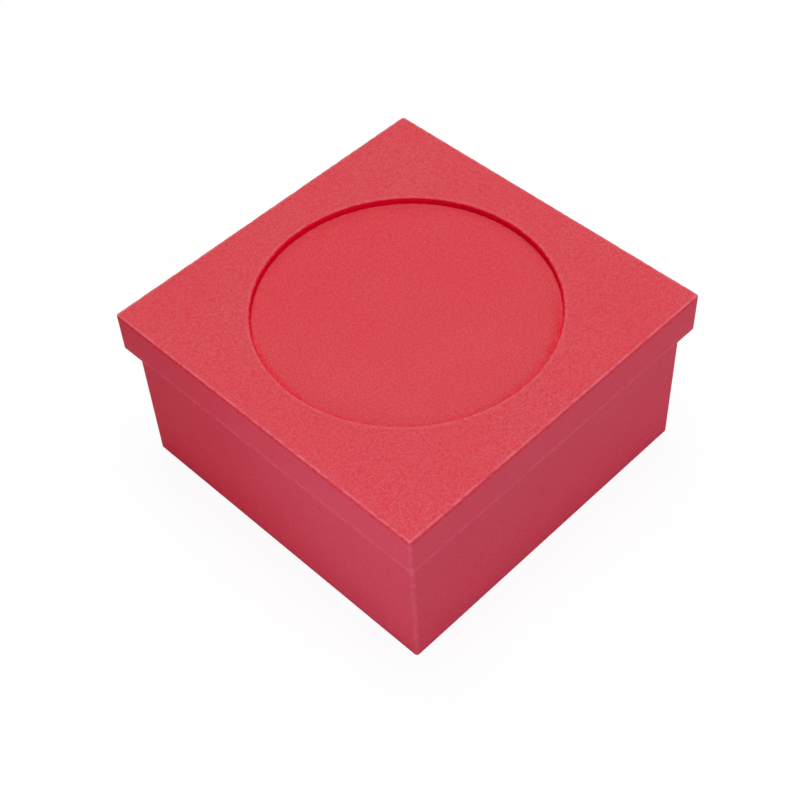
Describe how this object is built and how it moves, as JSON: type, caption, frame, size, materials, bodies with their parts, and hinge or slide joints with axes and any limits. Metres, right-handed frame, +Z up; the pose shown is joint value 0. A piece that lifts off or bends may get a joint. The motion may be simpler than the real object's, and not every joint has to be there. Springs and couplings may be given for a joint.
{
  "type": "lidded box",
  "caption": "Square keepsake box of painted fibreboard with a lift-off lid whose rim overhangs the walls and whose top has a shallow round recess.",
  "frame": {"origin": "centre of the base panel's underside, on the surface that the box stands on", "axes": "+Z up, the way the lid lifts; the front wall faces -Y and the left wall faces -X"},
  "size_m": [0.17, 0.17, 0.087],
  "materials": {
    "box_paint": "matte roller-painted red over fibreboard",
    "lid_paint": "matte roller-painted red over fibreboard",
    "pin_steel": "drawn bright wire"
  },
  "bodies": {
    "box": {"base_panel": "box_paint", "front_wall": "box_paint", "back_wall": "box_paint", "left_wall": "box_paint", "right_wall": "box_paint", "corner_pin_front_left_low": "pin_steel", "corner_pin_front_left_high": "pin_steel", "corner_pin_front_right_low": "pin_steel", "corner_pin_front_right_high": "pin_steel", "corner_pin_back_left_low": "pin_steel", "corner_pin_back_left_high": "pin_steel", "corner_pin_back_right_low": "pin_steel", "corner_pin_back_right_high": "pin_steel", "base_pin_front_left": "pin_steel", "base_pin_front_right": "pin_steel", "base_pin_back_left": "pin_steel", "base_pin_back_right": "pin_steel", "base_pin_left_front": "pin_steel", "base_pin_left_back": "pin_steel", "base_pin_right_front": "pin_steel", "base_pin_right_back": "pin_steel"},
    "lid": {"lid_face_board": "lid_paint", "lid_panel": "lid_paint", "lid_rim_front": "lid_paint", "lid_rim_back": "lid_paint", "lid_rim_left": "lid_paint", "lid_rim_right": "lid_paint", "rim_pin_front_left": "pin_steel", "rim_pin_front_right": "pin_steel", "rim_pin_back_left": "pin_steel", "rim_pin_back_right": "pin_steel", "lid_pin_front_left": "pin_steel", "lid_pin_front_right": "pin_steel", "lid_pin_back_left": "pin_steel", "lid_pin_back_right": "pin_steel", "lid_pin_left_front": "pin_steel", "lid_pin_left_back": "pin_steel", "lid_pin_right_front": "pin_steel", "lid_pin_right_back": "pin_steel"}
  },
  "joints": [
    {"name": "lid_lift", "type": "slide", "parent": "box", "child": "lid", "axis": [0, 0, 1], "range_m": [0, 0.1]}
  ]
}
